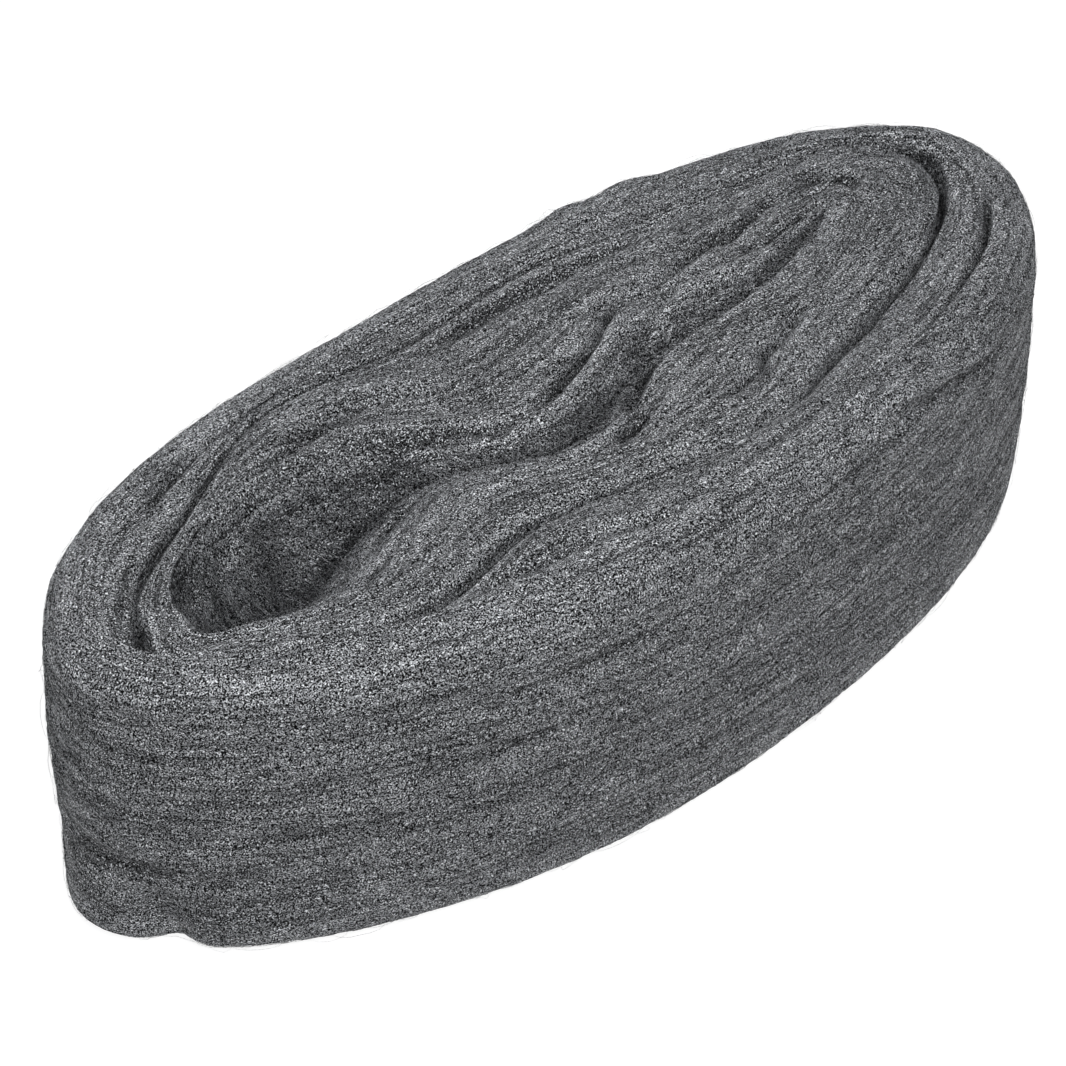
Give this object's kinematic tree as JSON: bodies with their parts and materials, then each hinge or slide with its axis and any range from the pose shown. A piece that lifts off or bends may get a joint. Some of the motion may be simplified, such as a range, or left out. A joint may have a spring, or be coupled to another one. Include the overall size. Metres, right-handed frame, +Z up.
{
  "type": "steel wool roll",
  "caption": "Wide soft band of steel wool wound into a long flattened coil, with a slot left in the middle of the winding.",
  "frame": {"origin": "middle of the underside of the coil's bounding box, on the surface that it lies on", "axes": "+X along the coil's length, towards the end with the thicker wall; +Y across the coil; +Z up, across the width of the band"},
  "size_m": [0.254, 0.1052, 0.0696],
  "materials": {
    "steel_wool": "matt, fine grey steel fibres that run along the winding"
  },
  "bodies": {
    "root": {"wool_roll": "steel_wool"}
  },
  "joints": []
}
